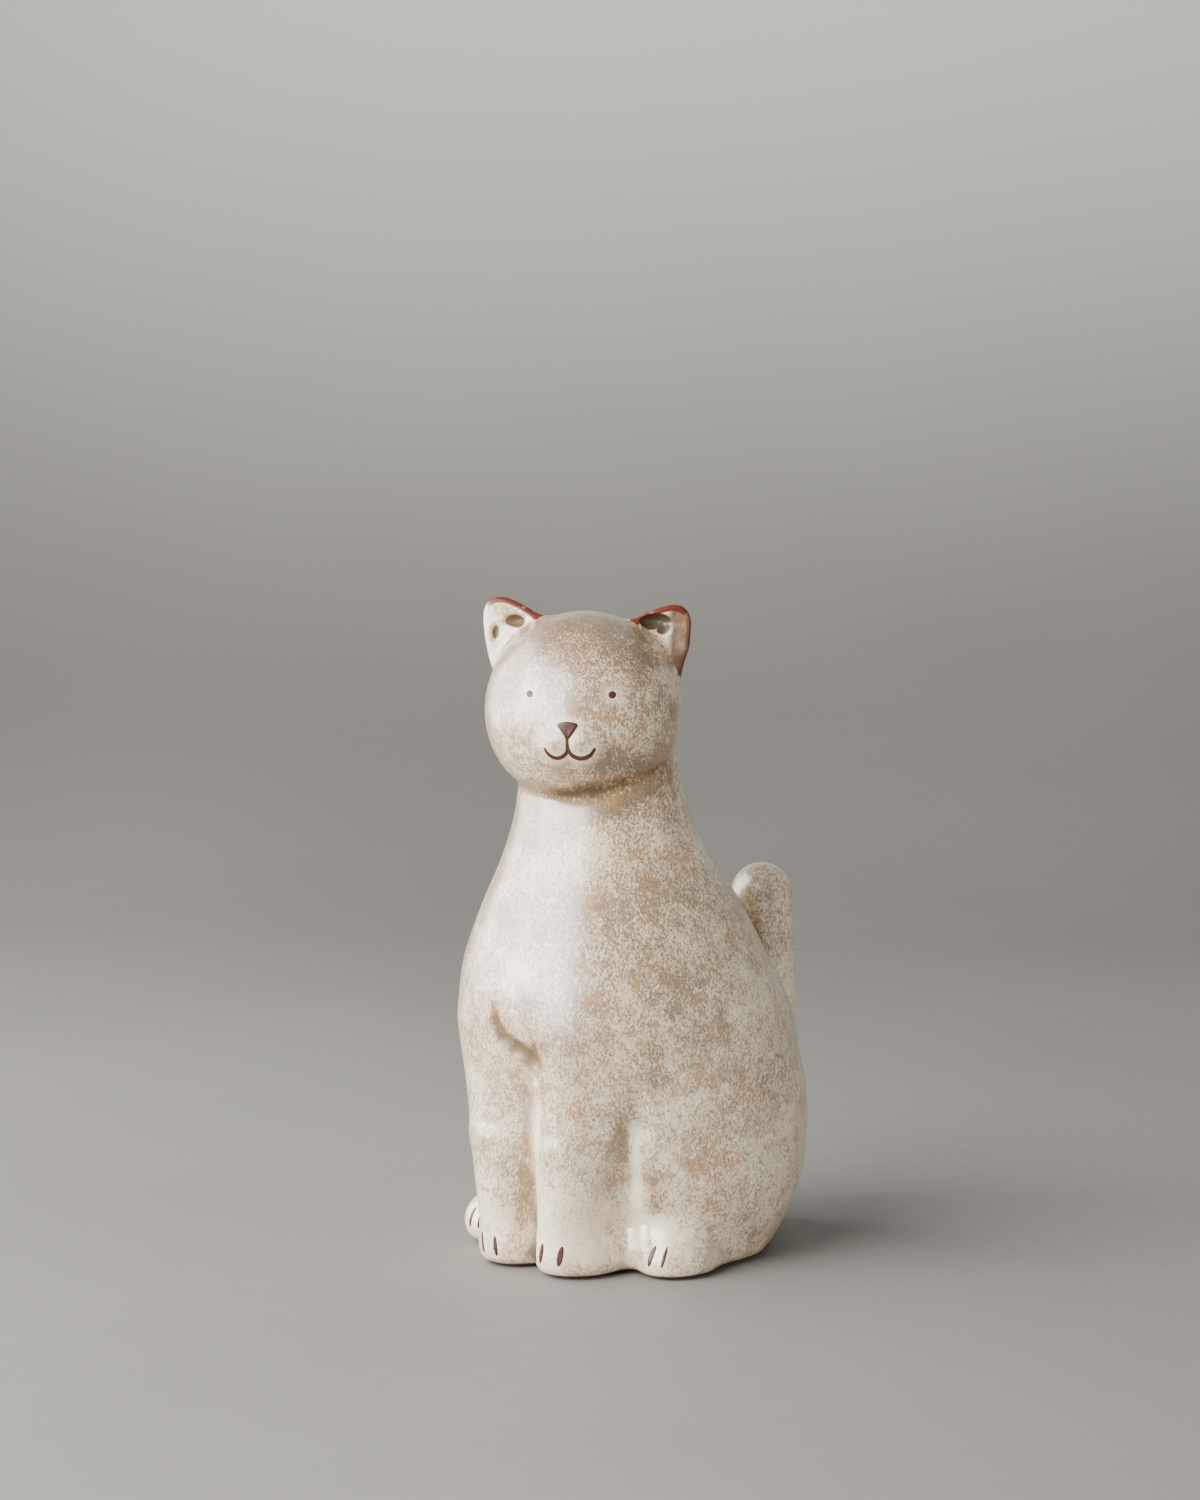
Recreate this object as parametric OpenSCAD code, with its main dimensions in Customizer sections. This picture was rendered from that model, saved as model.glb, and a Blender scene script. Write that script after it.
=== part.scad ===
// Seated cat figurine in glazed ceramic: a hollow slip-cast body and head, luted together, with
// hand-made ears and tail, a closing slab under the body and inlaid slip marks for the face and toes.
// Units are millimetres, +Z is up and the floor is z = 0. The cat faces -Y and its left is +X.

/* [Body] */
// Width across the haunches
belly_w = 109; // [105:1:112]
// Depth from chest to back, without paws and tail
belly_d = 116; // [112:1:119]
// Height of a foreleg's shoulder above the floor
shoulder_z = 80; // [76:1:84]
// Radius of a foreleg at the ankle, measured sideways
ankle_r = 11.6; // [10.8:0.1:12.4]
// Height of the haunch's centre
haunch_z = 38; // [35:1:41]
// Height of a paw above its centre line
paw_rise = 11; // [10:0.5:12]
// Wall of the cast body
body_wall = 6; // [5:0.5:7]

/* [Head] */
// Height of the head's centre above the floor
head_z = 187; // [185:1:189]
// Distance of the head's centre in front of the origin
head_forward = 25; // [23:1:27]
// How far the head is turned to the cat's left, in degrees
head_turn = 33; // [20:1:45]
// Width of the head
head_w = 64.6; // [62:0.2:67]
// Height of the head's upper ellipsoid
head_h = 62; // [60:0.5:64]
// Wall of the cast head
head_wall = 5; // [4:0.5:6]

/* [Ears] */
// Thickness of an ear at its rim
ear_rim = 4.4; // [3.6:0.2:5.2]
// Depth of the hollow in the front of an ear
ear_hollow = 4.2; // [3:0.2:4.6]

/* [Tail] */
// Height of the tail's tip above the floor
tail_top = 127; // [118:0.1:130]
// Radius of the tail at its root
tail_root_r = 11.5; // [10.5:0.1:12]
// Radius of the tail near its tip
tail_tip_r = 10.7; // [8.5:0.1:11.5]

/* [Base] */
// How far the slab's edge lies inside the body's outline
foot_ring = 9; // [8:0.5:11]
// Thickness of the slab that closes the underside
slab_t = 6; // [5:0.5:8]
// Diameter of the kiln vent through the slab
vent_d = 12; // [8:1:16]

/* [Marks] */
// Diameter of an eye dot
eye_d = 2.6; // [2:0.1:3.2]
// Distance between the eyes, centre to centre
eye_gap = 27; // [25:0.5:29]
// Width of the nose
nose_w = 7.6; // [6.6:0.2:8.4]
// Width of the mouth from corner to corner
mouth_w = 16.4; // [14:0.2:18]
// Width of a brush line of the mouth
brush_w = 1.1; // [0.9:0.1:1.5]
// Height of a toe line
toe_h = 6.8; // [6:0.2:7.6]
// Depth of the slip inlay in the wall
mark_depth = 1.4; // [1:0.1:2]

/* [Hidden] */

glaze = [0.88, 0.85, 0.79];
clay = [0.60, 0.33, 0.22];
slip = [0.30, 0.13, 0.09];

around = 72;                       // points in every ring of the body and the head
head_c = [0, -head_forward, head_z];
neck_c = [0, -20, head_z - 37];    // the neck's upper rings fan out from here
neck_top = head_z - 15;
round_foot = 5;                    // rounding of the lower edge
foot_drop = 0.5;                   // how far below the floor the rounding would come to rest
sx = belly_w / 109;
sy = belly_d / 116;
leg_middle = -1.8;                 // where the forelegs meet, a little to the cat's right
knee_z = 44;

// Torso sections: height, half width, half depth, centre y
sections = [
    [-10, 37.5, 40, 6.5], [0, 41, 43.5, 6.5], [8, 44.5, 46, 6.5], [18, 49, 49.5, 6.5],
    [34, 53, 53.2, 6], [51, 54.6, 56.2, 5], [66, 53.6, 57.6, 2], [85, 51.5, 58, -3],
    [99, 48.5, 54, -7.5], [120, 41, 45, -11], [137, 33.5, 35.5, -14],
    [150, 29.4, 29.8, -15.6], [165, 26.9, 26.9, -17.2], [180, 26, 26, -18.5], [230, 22, 22, -17]];

// Grooves are lists of points on their middle line, each with its radius
leg_gap = [[0, -58, 12, 3], [0, -60, 22, 5.5], [0, -61.5, 40, 6.5], [0, -63, 62, 5.5]];
haunch_groove = [[40, -40.5, 66, 1], [36.5, -40, 50, 4], [31.5, -40.5, 32, 6.5],
    [29.5, -38.5, 16, 7], [30, -38.5, 8, 5]];

// ---- smooth distance functions, negative inside ----

function smin(a, b, k) = let(h = max(k - abs(a - b), 0) / k) min(a, b) - h * h * k / 4;

function smax(a, b, k) = -smin(-a, -b, k);

function over(v, r) = [v.x / r.x, v.y / r.y, v.z / r.z];

function ball(p, c, r) =
    let(q = over(p - c, r), k = norm(q))
    k * (k - 1) / max(norm(over(q, r)), 1e-6);

function limb(p, a, b, ra, rb) =
    let(ab = b - a, t = max(0, min(1, (p - a) * ab / (ab * ab))))
    norm(p - a - t * ab) - (ra + (rb - ra) * t);

function row_at(z, i = 0) = i > len(sections) - 3 || sections[i + 1][0] > z ? i : row_at(z, i + 1);

function slope(i, k) =
    let(n = len(sections) - 1, a = sections[max(i - 1, 0)], b = sections[min(i + 1, n)])
    (b[k] - a[k]) / (b[0] - a[0]);

// Cubic through the sections at height z
function section(z, k) =
    let(i = row_at(z), a = sections[i], b = sections[i + 1], h = b[0] - a[0],
        t = max(0, min(1, (z - a[0]) / h)), u = 1 - t)
    a[k] * (1 + 2 * t) * u * u + b[k] * (3 - 2 * t) * t * t
    + h * t * u * (slope(i, k) * u - slope(i + 1, k) * t);

// s is the section [half width, half depth, centre y] at the point's own height
function torso(p, s) =
    let(q = [p.x / s[0], (p.y - s[2]) / s[1]], k = norm(q),
        g = norm([q.x / s[0], q.y / s[1]]))
    smax(0.9 * (k < 0.3 ? -0.7 * min(s[0], s[1]) : k * (k - 1) / max(g, 1e-6)), p.z - neck_top, 6);

function section_of(z) = [sx * section(z, 1), sy * section(z, 2), section(z, 3)];

function mirrored_at(p, middle) = [abs(p.x - middle), p.y, p.z];

// A foreleg with an oval section, from shoulder to knee to ankle
function foreleg(q) =
    let(v = [q.x, 0.7 * q.y, q.z], knee = [15.2, -26.7, knee_z], knee_r = (14.8 + ankle_r) / 2 + 0.5)
    min(limb(v, [18, -24.5, shoulder_z], knee, 14.8, knee_r),
        limb(v, knee, [12.8, -27, 8], knee_r, ankle_r));

function groove(q, path) = min([for (i = [1:len(path) - 1])
    let(a = path[i - 1], b = path[i])
    limb(q, [a[0], a[1], a[2]], [b[0], b[1], b[2]], a[3], b[3])]);

// The body without its flat foot, which is also what the inside of the casting follows
function cast_at(p, s) =
    let(q = mirrored_at(p, 0),
        fore = mirrored_at(p, leg_middle),
        chest = ball(q, [0, -22, 88], [33.5, 33, 36]),
        haunch = ball(q, [31, 9, haunch_z], [20.5, 33, 37]),
        whole = smin(smin(smin(torso(p, s), chest, 20), foreleg(fore), 8), haunch, 8),
        cut = smax(smax(whole, -groove(fore, leg_gap), 3), -groove(q, haunch_groove), 4),
        front = ball(fore, [13, -38.5, 5], [12.4, 12.8, paw_rise]),
        side = limb(q, [35.5, -14, 4], [33, 12, 5], 9.8, 9),
        left = ball(p, [36.3, -20, 5], [11, 13, paw_rise + 0.5]),
        right = ball(p, [-39.2, -24.5, 8], [11.5, 13.5, paw_rise - 0.5]))
    smin(smin(smin(smin(cut, front, 8), side, 6), left, 8), right, 8);

// in_wall is 0 on the glazed surface and the wall's thickness on the inside
function body_at(p, s, in_wall) =
    in_wall > 0 ? cast_at(p, s) + in_wall : smax(cast_at(p, s), -foot_drop - p.z, round_foot);

function turned(p, a) = [p.x * cos(a) - p.y * sin(a), p.x * sin(a) + p.y * cos(a), p.z];

// q is measured from the head's centre in the head's own turned frame
function head_local(q) =
    smin(ball(q, [0, 0, 0], [head_w / 2, head_w / 2 - 0.3, head_h / 2]),
        ball(q, [0, -1.5, -5], [head_w / 2 - 1.8, head_w / 2 - 1.8, head_h / 2 - 3]), 5);

function head_at(p) = head_local(turned(p - head_c, -head_turn));

// ---- where a ray leaves a shape: false position between a and b ----

function body_hit(o, d, s, off, a = 8, b = 78, fa = undef, fb = undef, n = 9) =
    let(ya = is_undef(fa) ? body_at(o + a * d, s, off) : fa,
        yb = is_undef(fb) ? body_at(o + b * d, s, off) : fb,
        m = b - yb * (b - a) / (yb - ya), ym = body_at(o + m * d, s, off))
    n == 0 || abs(ym) < 0.002 ? m
    : ym > 0 ? body_hit(o, d, s, off, a, m, ya * 0.6, ym, n - 1)
    : body_hit(o, d, s, off, m, b, ym, yb * 0.6, n - 1);

// The same for a ray that climbs, where the section changes along it
function climb_hit(o, d, off, a = 8, b = 60, n = 16) =
    let(m = (a + b) / 2, p = o + m * d, y = body_at(p, section_of(p.z), off))
    n == 0 ? m : y > 0 ? climb_hit(o, d, off, a, m, n - 1) : climb_hit(o, d, off, m, b, n - 1);

function head_hit(d, off, a = 15, b = 45, n = 16) =
    let(m = (a + b) / 2)
    n == 0 ? m : head_at(head_c + m * d) + off > 0 ? head_hit(d, off, a, m, n - 1)
    : head_hit(d, off, m, b, n - 1);

function aim(az, el) = [cos(az) * cos(el), sin(az) * cos(el), sin(el)];

function az_of(i) = 360 * i / around;

// ---- the body ----

function ring_y(z) = z < 60 ? 0 : neck_c.y * min(1, (z - 60) / (neck_c.z - 60));

function body_ring(z, off) =
    let(s = section_of(z), o = [0, ring_y(z), z])
    [for (i = [0:around - 1]) let(d = aim(az_of(i), 0)) o + body_hit(o, d, s, off) * d];

// Elevation, seen from neck_c, at which the neck's surface meets the head's
function crease_el(az, a = 0, b = 62, n = 12) =
    let(m = (a + b) / 2, d = aim(az, m), p = neck_c + climb_hit(neck_c, d, 0) * d)
    n == 0 ? m : head_at(p) > 0 ? crease_el(az, m, b, n - 1) : crease_el(az, a, m, n - 1);

crease = [for (i = [0:around - 1]) let(az = az_of(i), e = crease_el(az), d = aim(az, e))
    [az, e, neck_c + climb_hit(neck_c, d, 0) * d]];

function neck_ring(t) = [for (c = crease) let(d = aim(c[0], t * c[1]))
    neck_c + climb_hit(neck_c, d, 0) * d];

// Where each crease point lies as seen from the head's centre: azimuth and elevation
crease_dirs = [for (c = crease) let(v = c[2] - head_c)
    [atan2(v.y, v.x), asin(v.z / norm(v))]];

opening_el = -78;                  // edge of the opening under the head

// Rings on the head from the crease (t = 0) down to the opening (t = 1) or up to the crown
function seat_ring(t, off) = [for (c = crease_dirs)
    let(d = aim(c[0], c[1] + t * (opening_el - c[1]))) head_c + head_hit(d, off) * d];

function crown_ring(t, off) = [for (c = crease_dirs)
    let(d = aim(c[0], c[1] + t * (90 - c[1]))) head_c + head_hit(d, off) * d];

seat_t = 0.42;                     // how much of the way to the opening the neck's rim covers

outer_z = [0, 0.4, 1, 2, 3.2, 4.6, 6.2, 8, 9.8, 11.6, 13.4, 15.2, 17.2, 19.6, 22.5, 26, 30, 34.5,
    39.5, 45, 50.5, 56, 61.5, 67, 72.5, 78, 84, 90, 96, 102, 108, 114, 120, 126, 132, 138, 144, 150];
inner_z = [146, 136, 124, 112, 98, 84, 70, 56, 42, 28, 16, slab_t];

function outer_rings() = [for (z = outer_z) body_ring(z, 0)];

crease_pts = [for (c = crease) c[2]];
slab_edge = [for (p = body_ring(0, foot_ring)) [p.x, p.y]];

function ring_faces(rows, closed) = [
    for (j = [0:rows - (closed ? 1 : 2)], i = [0:around - 1])
        let(a = j * around, b = ((j + 1) % rows) * around, k = (i + 1) % around)
        each [[a + i, b + i, b + k], [a + i, b + k, a + k]]];

function caps(rows) = [[for (i = [0:around - 1]) i],
    [for (i = [around - 1:-1:0]) (rows - 1) * around + i]];

module solid_of(rings) {
    polyhedron(
        points = [for (r = rings) each r],
        faces = concat(ring_faces(len(rings), false), caps(len(rings))),
        convexity = 8);
}

module body_shell() {
    color(glaze)
    difference() {
        polyhedron(
            points = [for (r = concat(
                outer_rings(),
                [for (t = [0.3, 0.6, 0.85]) neck_ring(t)],
                [crease_pts, seat_ring(seat_t / 2, 0), seat_ring(seat_t, 0)],
                [for (z = inner_z) body_ring(z, body_wall)],
                [[for (p = slab_edge) [p.x, p.y, 0]]])) each r],
            faces = ring_faces(len(outer_z) + len(inner_z) + 7, true),
            convexity = 10);
        for (t = toe_lines) toe_tool(t);
    }
}

module base_slab() {
    color(clay)
    difference() {
        linear_extrude(slab_t) polygon(slab_edge);
        translate([0, 16, -1]) cylinder(d = vent_d, h = slab_t + 2, $fn = 64);
    }
}

// ---- the head ----

head_rows = 24;
head_inner_rows = 12;

module head_blank() {
    rings = concat(
        [seat_ring(1, 0), seat_ring(seat_t, 0), seat_ring(seat_t / 2, 0), crease_pts],
        [for (j = [1:head_rows - 1]) crown_ring(j / head_rows, 0)]);
    solid_of(rings);
}

module head_shell() {
    n = head_rows;
    m = head_inner_rows;
    outer = concat(
        [seat_ring(1, 0), seat_ring(seat_t, 0), seat_ring(seat_t / 2, 0), crease_pts],
        [for (j = [1:n - 1]) crown_ring(j / n, 0)]);
    inner = concat(
        [for (j = [m - 1:-1:1]) crown_ring(j / m, head_wall)],
        [for (t = [0, 0.5, 1]) seat_ring(t, head_wall)]);
    no = len(outer);
    ni = len(inner);
    color(glaze)
    difference() {
        polyhedron(
            points = concat([for (r = outer) each r], [for (r = inner) each r]),
            faces = concat(
                ring_faces(no, false),
                [[for (i = [around - 1:-1:0]) (no - 1) * around + i]],
                [for (f = ring_faces(ni, false)) [for (v = f) v + no * around]],
                [[for (i = [0:around - 1]) no * around + i]],
                [for (i = [0:around - 1])
                    let(k = (i + 1) % around, b = (no + ni - 1) * around)
                    each [[i, k, b + k], [i, b + k, b + i]]]),
            convexity = 10);
        eye_tool(1);
        eye_tool(-1);
        nose_tool();
        mouth_tool();
    }
}

// ---- marks: each tool is a prism that reaches mark_depth under the glazed surface ----

// Places children on the head's surface at (x, z) of the head's face, looking out along the surface
function face_y(x, z, a = -45, b = -5, n = 16) =
    let(m = (a + b) / 2)
    n == 0 ? m : head_local([x, m, z]) > 0 ? face_y(x, z, m, b, n - 1) : face_y(x, z, a, m, n - 1);

module on_face(x, z, pitch) {
    translate(head_c)
    rotate([0, 0, head_turn])
    translate([x, face_y(x, z), z])
    rotate([90 + pitch, 0, atan2(x, -face_y(x, z))])
    translate([0, 0, -mark_depth])
    linear_extrude(mark_depth + 4)
    children();
}

function disc(r, n = 16) = [for (i = [0:n - 1]) r * [cos(360 * i / n), sin(360 * i / n)]];

eye_z = 5.6;
face_x = 0.8; // the face lies a little to the cat's left of the head's middle
nose_z = -5.6;
mouth_z = -12.6;

module eye_tool(side) {
    on_face(side * eye_gap / 2 + face_x, eye_z, -9) polygon(disc(eye_d / 2));
}

// A rounded triangle, point down
function nose_pts() = [for (a = [0:15:345])
    nose_w / 2 * (1 + 0.17 * sin(3 * a)) * [cos(a), 0.78 * sin(a)]];

module nose_tool() {
    on_face(0.4, nose_z, 9) polygon(nose_pts());
}

// The middle line of half the mouth, from the philtrum's foot out to the corner
function smile(t) = [t * mouth_w / 2, -2.6 * sin(180 * pow(t, 0.8)) + 0.9 * t];

function ribbon(path, w) =
    let(n = len(path) - 1, side = [for (i = [0:n])
        let(v = path[min(i + 1, n)] - path[max(i - 1, 0)], u = v / norm(v)) [-u.y, u.x] * w / 2])
    concat([for (i = [0:n]) path[i] + side[i]], [for (i = [n:-1:0]) path[i] - side[i]]);

function mirrored(path) = [for (i = [len(path) - 1:-1:0]) [-path[i].x, path[i].y]];

module mouth_tool() {
    half = [for (i = [0:8]) smile(i / 8)];
    whole = concat(mirrored(half), [for (i = [1:8]) half[i]]);
    on_face(0.4, mouth_z, 20)
    union() {
        polygon(ribbon(whole, brush_w));
        polygon(ribbon([[0, -0.1], [0, 5.6]], brush_w * 0.9));
    }
}

// Toe lines: paw (0 front, 1 hind), side (1 is the cat's left), x, y and z on the surface, bearing,
// sideways lean, width
toe_lines = [
    [0, 1, 8.8, -55.5, 8.5, -8, 0.2, 1.8],
    [0, 1, 16.3, -54.2, 8.5, 26, 0.18, 2],
    [0, 1, 4, -52.5, 8, -40, 0, 1.2],
    [0, -1, 18.6, -55, 8, 22, -0.2, 1.1],
    [0, -1, 12.2, -55.4, 7.6, -12, -0.1, 1.4],
    [1, 1, 36.8, -32.6, 8, 3, 0.2, 1.8],
    [1, 1, 41.2, -31, 8, 32, 0.24, 1.1],
    [1, -1, 41, -37.5, 10, 10, 0.15, 1.2],
    [1, -1, 37, -37.7, 10, -10, 0.15, 1]];

function toe_pts(lean, w) =
    [for (a = [0:30:330]) let(up = toe_h / 2 * sin(a)) [w / 2 * cos(a) + lean * up, up]];

module toe_tool(t) {
    bearing = t[1] * t[5];
    d = aim(bearing - 90, 0);
    s = section_of(t[4]);
    o = [t[1] * t[2], t[3], t[4]] - 30 * d;
    reach = body_hit(o, d, s, 0, 10, 45);
    translate(o + (reach - mark_depth) * d)
    rotate([90, 0, bearing])
    linear_extrude(mark_depth + 4)
    polygon(toe_pts(t[6], t[7]));
}

module foot_blank() {
    solid_of([for (z = [for (v = outer_z) if (v < 20) v]) body_ring(z, 0)]);
}

module toes(paw, side) {
    color(slip)
    intersection() {
        foot_blank();
        for (t = toe_lines)
            if (t[0] == paw && t[1] == side) toe_tool(t);
    }
}

module front_left_toes() {
    toes(0, 1);
}

module front_right_toes() {
    toes(0, -1);
}

module hind_left_toes() {
    toes(1, 1);
}

module hind_right_toes() {
    toes(1, -1);
}

module left_eye() {
    color(slip) intersection() {
        head_blank();
        eye_tool(1);
    }
}

module right_eye() {
    color(slip) intersection() {
        head_blank();
        eye_tool(-1);
    }
}

module nose() {
    color(slip) intersection() {
        head_blank();
        nose_tool();
    }
}

module mouth() {
    color(slip) intersection() {
        head_blank();
        mouth_tool();
    }
}

// ---- ears: a rounded leaf, hollowed in front, built in a plane that leans with the head ----

// Outline radius at angle a: a rounded triangle whose corner points to the tip angle. shape says how
// far it is drawn out at its three corners, towards the tip, and to sharper corners
function leaf(a, tip, w, shape) = w * (1 + shape[0] * cos(3 * (a - tip))
    + shape[1] * cos(a - tip) + shape[2] * cos(6 * (a - tip)));

// Profile across the leaf: s is 0 at the middle and 1 at the rim
function ear_front(s) = ear_rim / 2 * sqrt(max(0, 1 - pow(s, 6))) - ear_hollow * max(0, 1 - pow(s / 0.7, 2));

function ear_back(s) = -(ear_rim / 2 * sqrt(max(0, 1 - pow(s, 6))) + 2.2 * (1 - s * s));

module ear(c, tip, w, yaw, shape) {
    steps = [0.12, 0.3, 0.45, 0.58, 0.7, 0.8, 0.88, 0.94, 0.98];
    n = 40;
    rows = concat([for (s = steps) [s, ear_front(s)]], [[1, 0]],
        [for (i = [len(steps) - 1:-1:0]) [steps[i], ear_back(steps[i])]]);
    pts = [for (r = rows, i = [0:n - 1])
        let(a = 360 * i / n, q = r[0] * leaf(a, tip, w, shape))
        [q * cos(a), -r[1], q * sin(a)]];
    k = len(rows);
    faces = concat(
        [for (j = [0:k - 2], i = [0:n - 1])
            let(a = j * n, b = a + n, m = (i + 1) % n)
            each [[a + i, b + m, b + i], [a + i, a + m, b + m]]],
        [[for (i = [n - 1:-1:0]) i]],
        [[for (i = [0:n - 1]) (k - 1) * n + i]]);
    color(glaze)
    difference() {
        translate(head_c)
        rotate([0, 0, head_turn])
        translate(c)
        rotate([0, 0, yaw])
        polyhedron(points = pts, faces = faces, convexity = 6);
        head_blank();
    }
}

module left_ear() {
    ear([24.1, 2.5, 20.3], 52, 11.7, 14, [0.155, 0.09, 0.033]);
}

module right_ear() {
    ear([-24, 2.5, 22.8], 126, 11.7, -14, [0.15, 0.05, 0.02]);
}

// ---- the tail ----

tail_path = [[3, 55, 0], [4, 58, 24], [6, 62, 50], [6.5, 62.4, 70], [6.3, 61.4, 95], [6, 60, 117]];

function path_x(z) = lookup(z, [for (p = tail_path) [p.z, p.x]]);

function path_y(z) = lookup(z, [for (p = tail_path) [p.z, p.y]]);

module tail() {
    n = 28;
    cap = tail_tip_r;
    z_cap = tail_top - cap;
    low = [[0, 0.72], [1.4, 0.86], [3.4, 0.96], [6, 1]];
    straight = [for (i = [1:12]) [6 + (z_cap - 6) * i / 12, 1]];
    tip = [for (a = [15:15:75]) [z_cap + cap * sin(a), cos(a)]];
    rows = concat(low, straight, tip, [[tail_top, 0.08]]);
    rings = [for (r = rows) let(z = r[0], c = min(z, z_cap),
        rad = r[1] * (tail_root_r + (tail_tip_r - tail_root_r) * c / z_cap))
        [for (i = [0:n - 1]) let(a = 360 * i / n)
            [path_x(c) + rad * cos(a), path_y(c) + rad * sin(a), z]]];
    k = len(rings);
    color(glaze)
    difference() {
        polyhedron(
            points = [for (r = rings) each r],
            faces = concat(
                [for (j = [0:k - 2], i = [0:n - 1])
                    let(a = j * n, b = a + n, m = (i + 1) % n)
                    each [[a + i, b + i, b + m], [a + i, b + m, a + m]]],
                [[for (i = [0:n - 1]) i], [for (i = [n - 1:-1:0]) (k - 1) * n + i]]),
            convexity = 6);
        solid_of(outer_rings());
    }
}

body_shell();
base_slab();
head_shell();
left_ear();
right_ear();
tail();
left_eye();
right_eye();
nose();
mouth();
front_left_toes();
front_right_toes();
hind_left_toes();
hind_right_toes();
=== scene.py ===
"""Seated cat figurine in speckled, glazed ceramic, on a plain pale floor.

Every ceramic piece is the zero surface of one smooth distance field, in millimetres, cut where
the clay pieces were joined. Each piece is meshed on its own grid, so the pieces stay separate.
"""
import math

import numpy as np

import bpy
from mathutils import Matrix, Vector


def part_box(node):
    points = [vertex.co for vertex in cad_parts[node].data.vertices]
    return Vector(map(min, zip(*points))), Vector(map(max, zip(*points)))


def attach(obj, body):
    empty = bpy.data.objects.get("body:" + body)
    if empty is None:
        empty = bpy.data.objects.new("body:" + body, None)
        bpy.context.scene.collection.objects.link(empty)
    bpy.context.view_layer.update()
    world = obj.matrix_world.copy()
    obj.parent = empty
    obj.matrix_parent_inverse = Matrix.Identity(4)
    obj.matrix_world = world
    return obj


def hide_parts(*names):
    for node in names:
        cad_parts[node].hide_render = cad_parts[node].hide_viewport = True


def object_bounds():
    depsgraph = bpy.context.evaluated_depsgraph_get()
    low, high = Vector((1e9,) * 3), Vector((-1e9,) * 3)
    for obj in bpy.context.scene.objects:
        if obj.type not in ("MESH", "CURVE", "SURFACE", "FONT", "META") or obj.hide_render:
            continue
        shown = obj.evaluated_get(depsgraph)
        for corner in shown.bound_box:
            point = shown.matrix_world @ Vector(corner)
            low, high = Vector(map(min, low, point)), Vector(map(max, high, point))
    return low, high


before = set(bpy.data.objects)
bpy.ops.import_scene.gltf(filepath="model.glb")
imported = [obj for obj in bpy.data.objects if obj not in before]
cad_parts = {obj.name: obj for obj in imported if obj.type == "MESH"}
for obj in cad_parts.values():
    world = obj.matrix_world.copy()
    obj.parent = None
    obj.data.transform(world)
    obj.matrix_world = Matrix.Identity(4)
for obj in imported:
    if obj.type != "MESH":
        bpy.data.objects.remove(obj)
cad_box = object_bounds()
MM = 0.001
CAD_LOW, CAD_HIGH = (np.array(c, np.float32) / np.float32(MM) for c in cad_box)

# ------------------------------------------------------------------ distance fields


def smin(a, b, k):
    """The smaller of a and b, blended where they differ by less than k."""
    h = np.maximum(k - np.abs(a - b), 0) / k
    return np.minimum(a, b) - h * h * (k / 4)


def smax(a, b, k):
    return -smin(-a, -b, k)


def norm(v):
    return np.sqrt((v * v).sum(-1))


def turn(p, degrees):
    """p turned about the vertical axis."""
    c, s = math.cos(math.radians(degrees)), math.sin(math.radians(degrees))
    x, y = p[..., 0], p[..., 1]
    return np.stack([x * c - y * s, x * s + y * c, p[..., 2]], -1)


def ball(p, centre, radii):
    """About the distance outside an ellipsoid."""
    r = np.float32(radii)
    q = p - np.float32(centre)
    k0 = norm(q / r)
    return k0 * (k0 - 1) / np.maximum(norm(q / (r * r)), 1e-6)


def limb(p, a, b, ra, rb):
    """Distance outside a round rod from a to b, with radius ra at a and rb at b."""
    a, b = np.float32(a), np.float32(b)
    ab = b - a
    q = p - a
    t = np.clip((q @ ab) / (ab @ ab), 0, 1)
    return norm(q - t[..., None] * ab) - (ra + (rb - ra) * t)


def rods(p, path):
    """Distance outside each rod along a path of x, y, z, radius."""
    return [limb(p, a[:3], b[:3], a[3], b[3]) for a, b in zip(path, path[1:])]


def carve(d, p, path, k):
    """d with a round groove along path cut out of it."""
    for rod in rods(p, path):
        d = smax(d, -rod, k)
    return d


def both_sides(p, middle=0.0):
    """p mirrored to the cat's left of the plane x = middle, and measured from that plane."""
    return np.stack([np.abs(p[..., 0] - middle), p[..., 1], p[..., 2]], -1)


def step01(x, low, high):
    """A smooth step from 0 at low to 1 at high."""
    t = np.clip((x - low) / (high - low), 0, 1)
    return t * t * (3 - 2 * t)


# ------------------------------------------------------------------ the figure

# Torso sections: height, half width, half depth, centre y
SECTIONS = np.float32([
    (-10, 37.5, 40, 6.5), (0, 41, 43.5, 6.5), (8, 44.5, 46, 6.5), (18, 49, 49.5, 6.5),
    (34, 53, 53.2, 6), (51, 54.6, 56.2, 5), (66, 53.6, 57.6, 2), (85, 51.5, 58, -3),
    (99, 48.5, 54, -7.5), (120, 41, 45, -11), (137, 33.5, 35.5, -14),
    (150, 29.4, 29.8, -15.6), (165, 26.9, 26.9, -17.2), (180, 26, 26, -18.5), (230, 22, 22, -17)])
TABLE_STEP = 0.5
NECK_TOP = 172
# Swellings of the body, each an ellipsoid: centre, radii
CHEST = (0, -22, 88), (33.5, 33, 36)
HAUNCH = (31, 9, 38), (20.5, 33, 37)
FRONT_PAW = (13, -38.5, 5), (12.4, 12.8, 11)
LEFT_HIND_PAW = (36.3, -20, 5), (11, 13, 11.5)
RIGHT_HIND_PAW = (-39.2, -24.5, 8), (11.5, 13.5, 10.5)
# Rods: x, y, z, radius. The forelegs are measured with y squeezed, so their section is oval.
FORELEG = [(18, -24.5, 80, 14.8), (15.2, -26.7, 44, 13.7), (12.8, -27.0, 8, 11.6)]
FORELEG_SQUEEZE = np.float32((1, 0.7, 1))
HIND_FOOT = [(35.5, -14, 4, 9.8), (33, 12, 5, 9.0)]
TAIL = [(3, 55, 12, 11.5), (5.6, 60.6, 42, 11.4), (6.5, 62, 66, 11.2), (6, 60, 116.2, 10.7)]
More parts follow.
